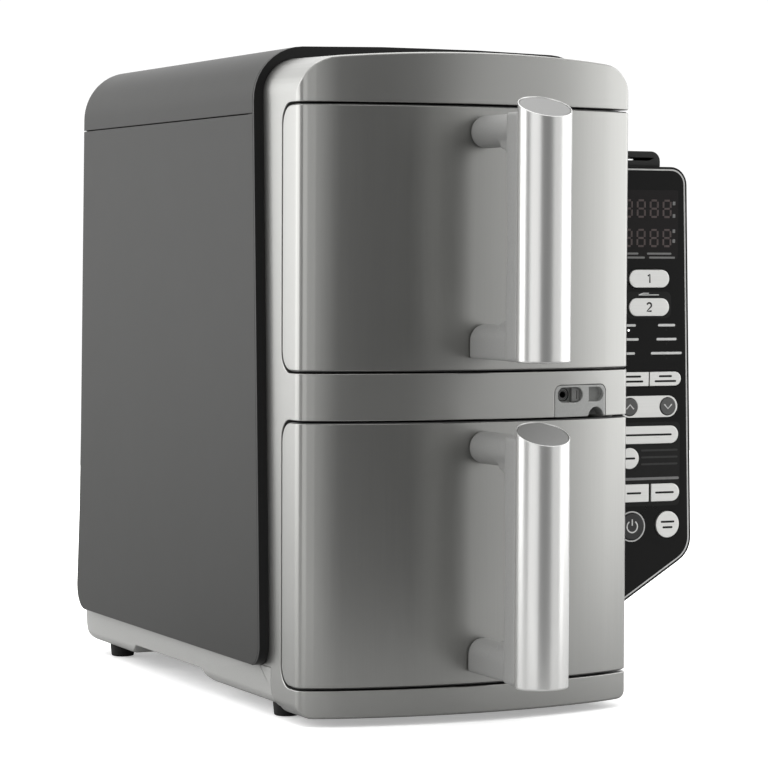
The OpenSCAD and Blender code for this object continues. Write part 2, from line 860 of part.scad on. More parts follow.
module panel_board() {
    color("seagreen") standing() along_y(board_y, board_y + 1.6) panel_outline(housing_t + 0.3);
}

// A key: its cap, the flange behind the lens that keeps it in, and its stem
module key(k, tone) {
    flange_w = k[2] / 2 - 2;
    flange_h = k[3] / 2 + key_flange;
    color(tone) standing() {
        along_y(panel_y - key_proud, panel_y + lens_t + 3) key_outline(k, 0);
        box(k[0] - flange_w, k[0] + flange_w, panel_y + lens_t + 1.2, panel_y + lens_t + 3,
            k[1] - flange_h, k[1] + flange_h);
        along_y(panel_y + lens_t + 2, board_y - key_travel - fit_gap) translate([k[0], k[1]]) circle(2.5);
    }
}

// A tab on top of the panel with a thin slot right through it
module probe_dock() {
    top = panel_top + dock_h;
    color(dark) standing() along_y(panel_y + lens_t, panel_y + panel_d) difference() {
        polygon(concat([[dock_x0, panel_top], [dock_x1, panel_top]],
            arc(dock_x1 - dock_r, top - dock_r, dock_r, 0, 90, 6),
            arc(dock_x0 + dock_r, top - dock_r, dock_r, 90, 180, 6)));
        polygon([[dock_x0 + 4, top - 5.6], [dock_x1 - 8, top - 5.6], [dock_x1 - 4.6, top - 4.2],
            [dock_x1 - 8, top - 4], [dock_x0 + 4, top - 4]]);
    }
}

left_side_panel();
right_side_panel();
top_cover();
rim_trim();
fascia();
base_tray();
feet();
rear_cover();
cord_gland();
main_board();
drawer_switches();
cavity(1);  // upper_cavity
cavity(0);  // lower_cavity
fan_guard(1);  // upper_fan_guard
fan_guard(0);  // lower_fan_guard
element(1);  // upper_element
element(0);  // lower_element
motor(1);  // upper_motor
motor(0);  // lower_motor
impeller(1);  // upper_impeller
impeller(0);  // lower_impeller
rotor(1);  // upper_rotor
rotor(0);  // lower_rotor
drawer_front(1);  // upper_drawer_front
drawer_front(0);  // lower_drawer_front
drawer_frame(1);  // upper_drawer_frame
drawer_frame(0);  // lower_drawer_frame
pan(1);  // upper_pan
pan(0);  // lower_pan
crisper_plate(1);  // upper_crisper_plate
crisper_plate(0);  // lower_crisper_plate
handle_spine(1);  // upper_handle_spine
handle_spine(0);  // lower_handle_spine
handle_bar(1);  // upper_handle_bar
handle_bar(0);  // lower_handle_bar
handle_cap(1);  // upper_handle_cap
handle_cap(0);  // lower_handle_cap
handle_screws(1);  // upper_handle_screws
handle_screws(0);  // lower_handle_screws
probe_insert();
probe_jack();
probe_slider();
panel_housing();
panel_lens();
panel_display();
panel_board();
probe_dock();
key(zone_1, "silver");  // top_zone_key
key(zone_2, "silver");  // bottom_zone_key
key(temp, "silver");  // temp_key
key(time, "silver");  // time_key
key(up, dark);  // up_key
key(down, dark);  // down_key
key(stack, "silver");  // stack_key
key(mode, "silver");  // mode_key
key(sync, "silver");  // sync_key
key(match, "silver");  // match_key
key(power, dark);  // power_key
key(start, "silver");  // start_key
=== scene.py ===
"""Looks of the air fryer with two stacked drawers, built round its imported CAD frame.

Pieces are drawn in millimetres from the cabinet's datum: X = 0 in the middle of the fascia, Y = 0 at its most
forward point and Z = 0 on the floor. at() turns such a point into the frame's metres.
"""

import json
import math

import bmesh
import bpy
from mathutils import Matrix, Vector

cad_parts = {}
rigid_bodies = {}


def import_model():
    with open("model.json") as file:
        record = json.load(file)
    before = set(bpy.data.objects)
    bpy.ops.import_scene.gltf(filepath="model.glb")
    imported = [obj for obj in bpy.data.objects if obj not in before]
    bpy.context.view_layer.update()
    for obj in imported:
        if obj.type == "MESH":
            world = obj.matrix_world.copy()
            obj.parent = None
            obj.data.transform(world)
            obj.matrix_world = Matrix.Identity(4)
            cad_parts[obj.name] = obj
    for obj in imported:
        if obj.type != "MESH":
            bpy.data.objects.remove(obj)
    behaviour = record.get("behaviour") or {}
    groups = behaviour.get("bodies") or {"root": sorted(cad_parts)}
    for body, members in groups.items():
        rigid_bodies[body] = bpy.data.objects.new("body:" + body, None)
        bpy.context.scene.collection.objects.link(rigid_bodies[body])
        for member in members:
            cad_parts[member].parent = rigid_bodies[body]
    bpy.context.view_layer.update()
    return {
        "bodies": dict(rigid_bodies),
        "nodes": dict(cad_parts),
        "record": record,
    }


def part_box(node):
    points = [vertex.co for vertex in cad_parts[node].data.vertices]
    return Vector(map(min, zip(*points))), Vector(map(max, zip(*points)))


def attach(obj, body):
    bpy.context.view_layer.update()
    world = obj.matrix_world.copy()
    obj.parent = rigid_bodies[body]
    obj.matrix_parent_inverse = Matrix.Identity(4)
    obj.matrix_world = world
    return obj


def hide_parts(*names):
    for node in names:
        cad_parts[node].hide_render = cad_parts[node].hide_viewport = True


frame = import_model()

# ---- Sizes, in millimetres, from the frame ----

MM = 0.001
FASCIA_LO, FASCIA_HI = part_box("fascia")
DATUM_X = (FASCIA_LO.x + FASCIA_HI.x) / 2
DATUM_Y = FASCIA_LO.y


def at(x, y, z):
    return Vector((DATUM_X + x * MM, DATUM_Y + y * MM, z * MM))


def node_box(name):
    """A CAD node's lowest and highest corners, in millimetres from the datum."""
    lo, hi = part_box(name)
    shift = Vector((DATUM_X, DATUM_Y, 0))
    return (lo - shift) / MM, (hi - shift) / MM


# Fascia: a front bulged in plan, whose arcs run into each other at the sines BLEND_FROM and BLEND_TO
FASCIA_HALF = (FASCIA_HI.x - FASCIA_LO.x) / MM / 2
FASCIA_LOW = FASCIA_LO.z / MM
FASCIA_RISE = 2.0
FASCIA_TOP = FASCIA_HI.z / MM - FASCIA_RISE
FASCIA_REAR = (FASCIA_HI.y - DATUM_Y) / MM
FASCIA_TOP_R = 22.0
FASCIA_ARCH_R = 1000.0
FASCIA_LOW_R = 8.0
BULGE_R = 320.0
BLEND_R = 120.0
BLEND_FROM = 0.25
BLEND_TO = 0.43
CORNER_R = (FASCIA_HALF - (BULGE_R - BLEND_R) * BLEND_FROM - BLEND_R * BLEND_TO) / (1 - BLEND_TO)
WALL = 3.0

# The fascia's rear edge below the side panels, in the side view, and its windows for the pans
SEAM_REAR = 59.0
SEAM_FRONT = 47.0
SEAM_BEND_Z = 20.0
SEAM_BEND_R = 12.0
WINDOW_HALF_H = 69.0
WINDOW_MARGIN = 2.5

# Drawer fronts, which wrap round the fascia's sides
LOWER_LO, LOWER_HI = node_box("lower_drawer_front")
UPPER_LO, UPPER_HI = node_box("upper_drawer_front")
DRAWER_HALF_H = (LOWER_HI.z - LOWER_LO.z) / 2
WRAP_Y = LOWER_HI.y
GAP = 1.6
PLATE_Y = WRAP_Y + GAP
WRAP_R = 11.0
SEAL = 0.5
SKIN = 2.0
TIERS = {"upper": (UPPER_LO.z + UPPER_HI.z) / 2, "lower": (LOWER_LO.z + LOWER_HI.z) / 2}

# Cabinet; REAR_EDGE holds Y-Z points of its rear edge in the side view
CABINET_LO, CABINET_HI = node_box("top_cover")
CABINET_HALF = (CABINET_HI.x - CABINET_LO.x) / 2
CABINET_TOP = CABINET_HI.z
TOP_EDGE_R = 32.0
TOP_ARCH_R = 2300.0
SEAM_Z = CABINET_LO.z
SEAM_GAP = 0.5
PANEL_LOW = node_box("left_side_panel")[0].z
SHEET = 1.2
FRONT_EDGE = (61.1, 73.3)
RIM = 2.0
LOW_FRONT_R = 12.0
LOW_REAR_R = 15.0
REAR_EDGE = [(382.7, 46.0), (378.0, 93.0), (375.0, 146.0), (366.8, CABINET_TOP)]

# Handles: an oval bar of half axes BAR_A and BAR_B, cut at a slope, and the grey back behind it
BAR_LO, BAR_HI = node_box("lower_handle_bar")
BAR_A = (BAR_HI.x - BAR_LO.x) / 2
BAR_B = (BAR_HI.y - BAR_LO.y) / 2
BAR_Y = (BAR_HI.y + BAR_LO.y) / 2
BAR_LOW = BAR_LO.z - TIERS["lower"]
CUT_SLOPE = 0.48
BAR_TOP = BAR_HI.z - TIERS["lower"] - CUT_SLOPE * BAR_B
BAR_WALL = 0.45
SPINE_REAR = BAR_Y + 26.6
SPINE_SPAN = (-47.0, 50.0)
SPINE_DISH = 4.0
DISH_R = 286.0
DISH_TURN = 9.2
WEB_REACH = 14.0
WEB_HALF = 7.0

# Control panel
LENS_LO, LENS_HI = node_box("panel_lens")
FACE_Y = LENS_LO.y
KEY_Y = node_box("start_key")[0].y


# ---- Outlines ----


def arc(cx, cy, r, a0, a1, n):
    turns = [math.radians(a0 + (a1 - a0) * i / n) for i in range(n + 1)]
    return [(cx + r * math.cos(t), cy + r * math.sin(t)) for t in turns]


def round_rect(x0, y0, x1, y1, r, n=8):
    corners = [(x1 - r, y0 + r, 270), (x1 - r, y1 - r, 0), (x0 + r, y1 - r, 90), (x0 + r, y0 + r, 180)]
    return [p for cx, cy, a in corners for p in arc(cx, cy, r, a, a + 90, n)]


def front_edge_y(z):
    """Y of the cabinet's leaning front edge, which curls back round its lower corner."""
    low, top = FRONT_EDGE
    z_corner = PANEL_LOW + LOW_FRONT_R
    y = low + (top - low) * (max(z, z_corner) - PANEL_LOW) / (CABINET_TOP - PANEL_LOW)
    if z < z_corner:
        y += LOW_FRONT_R - math.sqrt(max(0.0, LOW_FRONT_R**2 - (z_corner - z) ** 2))
    return y


def rear_edge_y(z):
    for (y0, z0), (y1, z1) in zip(REAR_EDGE, REAR_EDGE[1:]):
        if z <= z1:
            break
    return y0 + (y1 - y0) * (z - z0) / (z1 - z0)


def plan_arcs():
    """The half plan of the bulged front as arcs that run into each other: centre, radius and last slope."""
    arcs = []
    cx, cy, r, slope = 0.0, BULGE_R, BULGE_R, 0.0
    for next_r, next_slope in ((BULGE_R, BLEND_FROM), (BLEND_R, BLEND_TO), (CORNER_R, 1.0)):
        cx += (r - next_r) * slope
        cy -= (r - next_r) * math.sqrt(1.0 - slope * slope)
        arcs.append((cx, cy, next_r, next_slope))
        r, slope = next_r, next_slope
    return arcs


def plan_y(x, inset=0.0):
    """Y of the bulged front at X, and the outward normal there, as an X-Y pair."""
    for cx, cy, r, slope in plan_arcs():
        if abs(x) <= cx + (r - inset) * slope:
            break
    dx = min(1.0, (abs(x) - cx) / (r - inset))
    dy = -math.sqrt(1.0 - dx * dx)
    return cy + (r - inset) * dy, (math.copysign(dx, x), dy)


def arched(half, top, arch_r, r, inset=0.0, n=16):
    """Upper line of a profile, from right to left: a slight arch between two rounded corners."""
    cx = half - r
    middle = top - arch_r
    cz = middle + math.sqrt((arch_r - r) ** 2 - cx * cx)
    turn = math.degrees(math.asin(cx / (arch_r - r)))
    right = arc(cx, cz, r - inset, 0, 90 - turn, n)
    across = arc(0, middle, arch_r - inset, 90 - turn, 90 + turn, 24)
    return right + across[1:-1] + arc(-cx, cz, r - inset, 90 + turn, 180, n)


def profile_z(x, inset, top):
    """Z of the fascia's upper or lower edge at X, and the outward normal there, as an X-Z pair."""
    side = math.copysign(1.0, x)
    if not top:
        cx, cz, r = FASCIA_HALF - FASCIA_LOW_R, FASCIA_LOW + FASCIA_LOW_R, FASCIA_LOW_R - inset
        dx = min(1.0, max(0.0, (abs(x) - cx) / r))
        dz = math.sqrt(1.0 - dx * dx)
        return cz - r * dz, (side * dx, -dz)
    cx = FASCIA_HALF - FASCIA_TOP_R
    middle = FASCIA_TOP - FASCIA_ARCH_R
    tangent_x = cx * (FASCIA_ARCH_R - inset) / (FASCIA_ARCH_R - FASCIA_TOP_R)
    if abs(x) <= tangent_x:
        cx, cz, r = 0.0, middle, FASCIA_ARCH_R - inset
    else:
        cz, r = middle + math.sqrt((FASCIA_ARCH_R - FASCIA_TOP_R) ** 2 - cx * cx), FASCIA_TOP_R - inset
    dx = min(1.0, max(0.0, (abs(x) - cx) / r))
    dz = math.sqrt(1.0 - dx * dx)
    return cz + r * dz, (side * dx, dz)


# ---- Mesh tools ----


def mesh_object(name, verts, faces, merge=0.0):
    """A mesh object from points in millimetres from the datum."""
    mesh = bpy.data.meshes.new(name)
    mesh.from_pydata([at(*v) for v in verts], [], faces)
    bm = bmesh.new()
    bm.from_mesh(mesh)
    if merge:
        bmesh.ops.remove_doubles(bm, verts=bm.verts, dist=merge * MM)
    bmesh.ops.recalc_face_normals(bm, faces=bm.faces)
    bm.to_mesh(mesh)
    bm.free()
    obj = bpy.data.objects.new(name, mesh)
    bpy.context.scene.collection.objects.link(obj)
    return obj


def prism(name, outline, axis, low, high):
    """An outline pulled along X, Y or Z; the outline's pairs are the other two coordinates in order."""
    place = {
        "x": lambda u, v, w: (w, u, v),
        "y": lambda u, v, w: (u, w, v),
        "z": lambda u, v, w: (u, v, w),
    }[axis]
    n = len(outline)
    verts = [place(u, v, w) for w in (low, high) for u, v in outline]
    faces = [tuple(range(n)), tuple(range(2 * n - 1, n - 1, -1))]
    faces += [(i, (i + 1) % n, n + (i + 1) % n, n + i) for i in range(n)]
    return mesh_object(name, verts, faces)


def box(name, x0, x1, y0, y1, z0, z1):
    return prism(name, [(x0, y0), (x1, y0), (x1, y1), (x0, y1)], "z", z0, z1)


def apply_modifiers(obj):
    graph = bpy.context.evaluated_depsgraph_get()
    mesh = bpy.data.meshes.new_from_object(obj.evaluated_get(graph))
    obj.modifiers.clear()
    obj.data = mesh
    return obj


def boolean(obj, operation, *tools):
    for tool in tools:
        step = obj.modifiers.new("boolean", "BOOLEAN")
        step.operation = operation
        step.object = tool
        step.solver = "EXACT"
        apply_modifiers(obj)
        bpy.data.objects.remove(tool)
    return obj


def cut(obj, *tools):
    return boolean(obj, "DIFFERENCE", *tools)


def keep(obj, *tools):
    return boolean(obj, "INTERSECT", *tools)


def unite(obj, *tools):
    return boolean(obj, "UNION", *tools)


def tidy(obj, distance=0.02, flat=0.5, corners=4):
    """Joins what a cut left apart, and splits faces with more corners, which a bevel could fold."""
    bm = bmesh.new()
    bm.from_mesh(obj.data)
    bmesh.ops.remove_doubles(bm, verts=bm.verts, dist=distance * MM)
    bmesh.ops.dissolve_degenerate(bm, edges=bm.edges, dist=distance * MM)
    bmesh.ops.dissolve_limit(bm, angle_limit=math.radians(flat), verts=bm.verts, edges=bm.edges)
    bmesh.ops.triangulate(bm, faces=[face for face in bm.faces if len(face.verts) > corners])
    bmesh.ops.recalc_face_normals(bm, faces=bm.faces)
    bm.to_mesh(obj.data)
    bm.free()
    return obj


def smooth(obj, angle=38.0):
    """Smooth faces with creases kept over the angle, and normals weighted by face area."""
    bm = bmesh.new()
    bm.from_mesh(obj.data)
    for face in bm.faces:
        face.smooth = True
    for edge in bm.edges:
        edge.smooth = edge.is_manifold and edge.calc_face_angle(0.0) < math.radians(angle)
    bm.to_mesh(obj.data)
    bm.free()
    weights = obj.modifiers.new("normals", "WEIGHTED_NORMAL")
    weights.keep_sharp = True
    weights.mode = "FACE_AREA_WITH_ANGLE"
    return obj


def bevel(obj, width, segments=3, angle=38.0):
    """Rounds the edges that turn by more than the angle."""
    step = obj.modifiers.new("bevel", "BEVEL")
    step.width = width * MM
    step.segments = segments
    step.limit_method = "ANGLE"
    step.angle_limit = math.radians(angle)
    step.use_clamp_overlap = False
    step.miter_outer = "MITER_ARC"
    step.harden_normals = False
    step.loop_slide = False
    return apply_modifiers(obj)


def piece(obj, body, slot, material, *nodes):
    """Gives a finished piece its body and its material, and hides the CAD nodes it stands for; the slot is
    not used.
    """
    obj.data.materials.clear()
    obj.data.materials.append(material)
    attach(obj, body)
    if nodes:
        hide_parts(*nodes)
    return obj


def copy_of(node, name):
    """A new object with a copy of a CAD node's mesh."""
    obj = bpy.data.objects.new(name, frame["nodes"][node].data.copy())
    bpy.context.scene.collection.objects.link(obj)
    return tidy(obj, 0.02, 0.8)


def refined(node, edge_r=0.4, segments=2, angle=32.0):
    """A copy of a CAD node with its sharp edges rounded, which stands for the node."""
    obj = copy_of(node, node + "_shape")
    if edge_r:
        bevel(obj, edge_r, segments, angle)
    smooth(obj, angle)
    return piece(obj, BODY_OF[node], SLOT_OF[node], MATERIALS[SLOT_OF[node]], node)


def skin(name, rings, caps=True):
    """A closed skin over rings with equal numbers of points."""
    n = len(rings[0])
    verts = [tuple(p) for ring in rings for p in ring]
    faces = []
    for i in range(len(rings) - 1):
        for j in range(n):
            k = (j + 1) % n
            faces.append((i * n + j, i * n + k, (i + 1) * n + k, (i + 1) * n + j))
    if caps:
        last = (len(rings) - 1) * n
        faces += [tuple(range(n)), tuple(range(last, last + n))]
    return mesh_object(name, verts, faces)


def join(name, parts):
    """One mesh object from several."""
    bm = bmesh.new()
    for part in parts:
        bm.from_mesh(part.data)
        bpy.data.objects.remove(part)
    mesh = bpy.data.meshes.new(name)
    bm.to_mesh(mesh)
    bm.free()
    obj = bpy.data.objects.new(name, mesh)
    bpy.context.scene.collection.objects.link(obj)
    return obj


# ---- Materials ----


class Nodes:
    """A short way to write a material's node tree."""

    def __init__(self, name):
        self.material = bpy.data.materials.new(name)
        self.material.use_nodes = True
        self.tree = self.material.node_tree
        self.shader = self.tree.nodes["Principled BSDF"]
        self.place = self.add("ShaderNodeTexCoord").outputs["Object"]

    def add(self, kind, **inputs):
        node = self.tree.nodes.new(kind)
        for key, value in inputs.items():
            self.feed(node, key.replace("_", " "), value)
        return node

    def feed(self, node, key, value):
        if isinstance(value, bpy.types.NodeSocket):
            self.tree.links.new(value, node.inputs[key])
        else:
            node.inputs[key].default_value = value

    def noise(self, scale, detail=3.0, stretch=(1, 1, 1)):
        moved = self.add("ShaderNodeMapping", Vector=self.place, Scale=stretch)
        return self.add(
            "ShaderNodeTexNoise", Vector=moved.outputs["Vector"], Scale=scale, Detail=detail
        ).outputs["Fac"]

    def ramp(self, value, low, high, start=0.3, end=0.7):
        node = self.add("ShaderNodeValToRGB", Fac=value)
        for element, colour, position in zip(node.color_ramp.elements, (low, high), (start, end)):
            element.color = (*colour, 1.0)
            element.position = position
        return node.outputs["Color"]

    def span(self, value, low, high):
        node = self.add("ShaderNodeMapRange", Value=value)
        node.inputs["To Min"].default_value = low
        node.inputs["To Max"].default_value = high
        return node.outputs["Result"]

    def bump(self, height, strength, distance=0.0002):
        node = self.add("ShaderNodeBump", Height=height, Strength=strength, Distance=distance)
        self.feed(self.shader, "Normal", node.outputs["Normal"])


def shade(colour, factor):
    """A colour made darker or lighter."""
    return tuple(min(1.0, c * factor) for c in colour)


def painted(
    name, colour, roughness, metallic=0.0, grain=0.05, orange_peel=0.05, coat=0.0, specular=0.5, uneven=0.03
):
    """Paint or satin plastic: faint cloudy colour, uneven gloss and a fine skin."""
    m = Nodes(name)
    cloud = m.noise(9.0)
    m.feed(m.shader, "Base Color", m.ramp(cloud, shade(colour, 1 - grain), shade(colour, 1 + grain)))
    m.feed(m.shader, "Roughness", m.span(m.noise(60.0), roughness - uneven, roughness + uneven))
    m.shader.inputs["Metallic"].default_value = metallic
    m.shader.inputs["Specular IOR Level"].default_value = specular
    m.shader.inputs["Coat Weight"].default_value = coat
    m.shader.inputs["Coat Roughness"].default_value = 0.25
    m.bump(m.noise(2200.0, 2.0), orange_peel, 0.00005)
    return m.material


def brushed(name, colour, roughness, stretch, metallic=1.0, strength=0.04, grain=0.05, uneven=0.05):
    """Brushed metal: long fine streaks in colour, gloss and height along one direction."""
    m = Nodes(name)
    streak = m.noise(900.0, 4.0, stretch)
    m.feed(m.shader, "Base Color", m.ramp(streak, shade(colour, 1 - grain), shade(colour, 1 + grain)))
    m.feed(m.shader, "Roughness", m.span(streak, roughness - uneven, roughness + uneven))
    m.shader.inputs["Metallic"].default_value = metallic
    m.bump(streak, strength, 0.00004)
    return m.material


def moulded(name, colour, roughness, texture=900.0, strength=0.12, specular=0.5):
    """Moulded plastic or rubber with a fine spark-eroded skin."""
    m = Nodes(name)
    speck = m.noise(texture, 4.0)
    m.feed(m.shader, "Base Color", m.ramp(speck, shade(colour, 0.94), shade(colour, 1.06)))
    m.feed(m.shader, "Roughness", m.span(m.noise(40.0), roughness - 0.05, roughness + 0.05))
    m.shader.inputs["Specular IOR Level"].default_value = specular
    m.bump(speck, strength, 0.00006)
    return m.material


def ink(name, colour, glow=0.0):
    """Printed marks and display segments, slightly uneven."""
    m = Nodes(name)
    tone = m.ramp(m.noise(400.0), shade(colour, 0.92), shade(colour, 1.05))
    m.feed(m.shader, "Base Color", tone)
    m.shader.inputs["Roughness"].default_value = 0.45
    m.shader.inputs["Specular IOR Level"].default_value = 0.15
    if glow:
        m.feed(m.shader, "Emission Color", tone)
        m.shader.inputs["Emission Strength"].default_value = glow
    return m.material


def board(name):
    """Circuit board laminate with copper tracks under the green mask."""
    m = Nodes(name)
    moved = m.add("ShaderNodeMapping", Vector=m.place, Scale=(260.0, 260.0, 260.0))
    bricks = m.add("ShaderNodeTexBrick", Vector=moved.outputs["Vector"])
    bricks.inputs["Color1"].default_value = (0.015, 0.12, 0.05, 1)
    bricks.inputs["Color2"].default_value = (0.02, 0.16, 0.07, 1)
    bricks.inputs["Mortar"].default_value = (0.05, 0.22, 0.09, 1)
    m.feed(m.shader, "Base Color", bricks.outputs["Color"])
    m.shader.inputs["Roughness"].default_value = 0.35
    return m.material


SILVER = (0.32, 0.32, 0.309)
MATERIALS = {
    "cabinet_paint": painted("cabinet_paint", (0.020, 0.020, 0.0185), 0.45, 0.0, 0.02, 0.06, 0.0, 0.18, 0.01),
    "rim_black": moulded("rim_black", (0.006, 0.006, 0.006), 0.45, 1400.0, 0.05, 0.3),
    "fascia_silver": painted("fascia_silver", SILVER, 0.34, 0.88, 0.015, 0.04, 0.0, 0.5, 0.015),
    "drawer_steel": brushed("drawer_steel", SILVER, 0.34, (1, 1, 0.02), 1.0, 0.012, 0.015, 0.02),
    "frame_plastic": moulded("frame_plastic", (0.05, 0.05, 0.05), 0.55),
    "base_grey": moulded("base_grey", (0.3, 0.3, 0.29), 0.42, 1200.0, 0.05),
    "foot_rubber": moulded("foot_rubber", (0.008, 0.008, 0.008), 0.75, 700.0, 0.2, 0.3),
    "vent_black": moulded("vent_black", (0.022, 0.022, 0.022), 0.55),
    "gland_black": moulded("gland_black", (0.014, 0.014, 0.014), 0.5),
    "circuit_board": board("circuit_board"),
    "switch_white": moulded("switch_white", (0.7, 0.7, 0.68), 0.4),
    "cavity_enamel": painted("cavity_enamel", (0.07, 0.07, 0.072), 0.42, 0.3, 0.08, 0.2),
    "guard_steel": brushed("guard_steel", (0.5, 0.5, 0.5), 0.3, (0.02, 1, 1)),
    "element_steel": painted("element_steel", (0.12, 0.11, 0.1), 0.5, 0.8, 0.2, 0.3),
    "motor_steel": brushed("motor_steel", (0.42, 0.42, 0.42), 0.35, (1, 0.02, 1)),
    "impeller_aluminium": brushed("impeller_aluminium", (0.62, 0.62, 0.62), 0.3, (0.1, 1, 0.1)),
    "shaft_steel": brushed("shaft_steel", (0.5, 0.5, 0.5), 0.25, (1, 0.02, 1)),
    "pan_coating": painted("pan_coating", (0.045, 0.045, 0.046), 0.38, 0.1, 0.06, 0.25, 0.2),
    "handle_grey": moulded("handle_grey", (0.26, 0.26, 0.254), 0.48, 1200.0, 0.06),
    "handle_chrome": brushed(
        "handle_chrome", (0.65, 0.65, 0.638), 0.28, (1, 1, 0.004), 0.74, 0.003, 0.015, 0.012
    ),
    "handle_cap_grey": painted("handle_cap_grey", (0.17, 0.17, 0.166), 0.45, 0.0, 0.02, 0.04),
    "screw_steel": brushed("screw_steel", (0.5, 0.5, 0.5), 0.3, (1, 1, 0.1)),
    "insert_grey": moulded("insert_grey", (0.34, 0.345, 0.335), 0.4, 1200.0, 0.05),
    "jack_black": moulded("jack_black", (0.008, 0.008, 0.008), 0.3, 900.0, 0.05),
    "slider_grey": moulded("slider_grey", (0.19, 0.19, 0.187), 0.45),
    "housing_black": moulded("housing_black", (0.010, 0.010, 0.010), 0.45, 900.0, 0.06, 0.35),
    "panel_black": painted("panel_black", (0.005, 0.005, 0.0048), 0.3, 0.0, 0.1, 0.01, 0.0, 0.14),
    "display_dark": painted("display_dark", (0.012, 0.010, 0.010), 0.25, 0.0, 0.1, 0.01, 0.0, 0.14),
    "dock_black": moulded("dock_black", (0.008, 0.008, 0.008), 0.42, 900.0, 0.06, 0.35),
    "key_silver": brushed("key_silver", (0.72, 0.72, 0.70), 0.3, (0.03, 1, 1), 0.8, 0.015, 0.03),
    "key_black": moulded("key_black", (0.010, 0.010, 0.010), 0.3, 900.0, 0.04),
    "arrow_grey": moulded("arrow_grey", (0.09, 0.09, 0.088), 0.4, 900.0, 0.04),
}
INKS = {
    "line_silver": ink("line_silver", (0.62, 0.62, 0.61)),
    "print_white": ink("print_white", (0.72, 0.72, 0.71)),
    "print_grey": ink("print_grey", (0.22, 0.22, 0.218)),
    "print_black": ink("print_black", (0.012, 0.012, 0.012)),
    "patch_grey": ink("patch_grey", (0.014, 0.014, 0.0135)),
    "patch_dark": ink("patch_dark", (0.012, 0.0105, 0.0105)),
    "patch_hint": ink("patch_hint", (0.045, 0.045, 0.044)),
    "segment_off": ink("segment_off", (0.10, 0.08, 0.078)),
    "lamp_white": ink("lamp_white", (0.9, 0.9, 0.88), 1.2),
}
SLOT_OF = {row["node"]: row["material_slot"] for row in frame["record"]["subparts"]}
BODY_OF = {node: body for body, nodes in frame["record"]["behaviour"]["bodies"].items() for node in nodes}


def dress_nodes():
    """Every CAD node starts with its slot's material; some are replaced by finer pieces below."""
    for name, obj in frame["nodes"].items():
        obj.data.materials.clear()
        obj.data.materials.append(MATERIALS[SLOT_OF[name]])


# ---- The camera, the light and the floor ----

CAMERA_AT = (-767.15, -1525.37, 267.26)
CAMERA_YAW = math.radians(24.801)
CAMERA_PITCH = math.radians(2.499)
CAMERA_ROLL = math.radians(0.236)
CAMERA_LENS = 140.61


def make_camera():
    forward = Vector((
        math.sin(CAMERA_YAW) * math.cos(CAMERA_PITCH),
        math.cos(CAMERA_YAW) * math.cos(CAMERA_PITCH),
        -math.sin(CAMERA_PITCH),
    ))
    level = Vector((math.cos(CAMERA_YAW), -math.sin(CAMERA_YAW), 0.0))
    raised = level.cross(forward)
    right = math.cos(CAMERA_ROLL) * level + math.sin(CAMERA_ROLL) * raised
    up = -math.sin(CAMERA_ROLL) * level + math.cos(CAMERA_ROLL) * raised
    data = bpy.data.cameras.new("camera")
    data.lens = CAMERA_LENS
    data.sensor_width = 36.0
    data.clip_end = 50.0
    camera = bpy.data.objects.new("camera", data)
    turn = Matrix((right, up, -forward)).transposed().to_4x4()
    camera.matrix_world = Matrix.Translation(at(*CAMERA_AT)) @ turn
    bpy.context.scene.collection.objects.link(camera)
    bpy.context.scene.camera = camera


def area_light(name, place, target, size, power):
    """A softbox that shines on the target and isn't seen itself."""
    data = bpy.data.lights.new(name, "AREA")
    data.shape = "RECTANGLE"
    data.size, data.size_y = size
    data.energy = power
    light = bpy.data.objects.new(name, data)
    light.visible_camera = False
    place, target = Vector(place), Vector(target)
    turn = (target - place).to_track_quat("-Z", "Y").to_matrix().to_4x4()
    light.matrix_world = Matrix.Translation(place) @ turn
    bpy.context.scene.collection.objects.link(light)
    return light


def make_stage():
    """A pale floor, greyer to other rays than to the camera's so that it doesn't wash out the steel."""
    left, right, front, back = -1.3, 1.3, -0.42, 1.9
    verts = [(x, y, -0.0002) for x, y in ((left, front), (right, front), (right, back), (left, back))]
    mesh = bpy.data.meshes.new("floor")
    mesh.from_pydata(verts, [], [(0, 1, 2, 3)])
    floor = bpy.data.objects.new("floor", mesh)
    bpy.context.scene.collection.objects.link(floor)
    m = Nodes("studio_floor")
    m.feed(m.shader, "Roughness", m.span(m.noise(30.0), 0.75, 0.85))
    seen = m.add("ShaderNodeLightPath").outputs["Is Camera Ray"]
    m.feed(m.shader, "Base Color", m.ramp(seen, (0.5, 0.5, 0.5), (0.92, 0.92, 0.92), 0.0, 1.0))
    m.feed(m.shader, "Emission Strength", m.span(seen, 0.0, 0.35))
    m.shader.inputs["Emission Color"].default_value = (1, 1, 1, 1)
    m.shader.inputs["Specular IOR Level"].default_value = 0.1
    mesh.materials.append(m.material)


# The dome's brightness: places along its ramp, from before the front to overhead and behind, and levels
WORLD_STOPS = [(0.0, 0.13), (0.30, 0.19), (0.45, 0.5), (0.62, 1.1), (1.0, 1.7)]


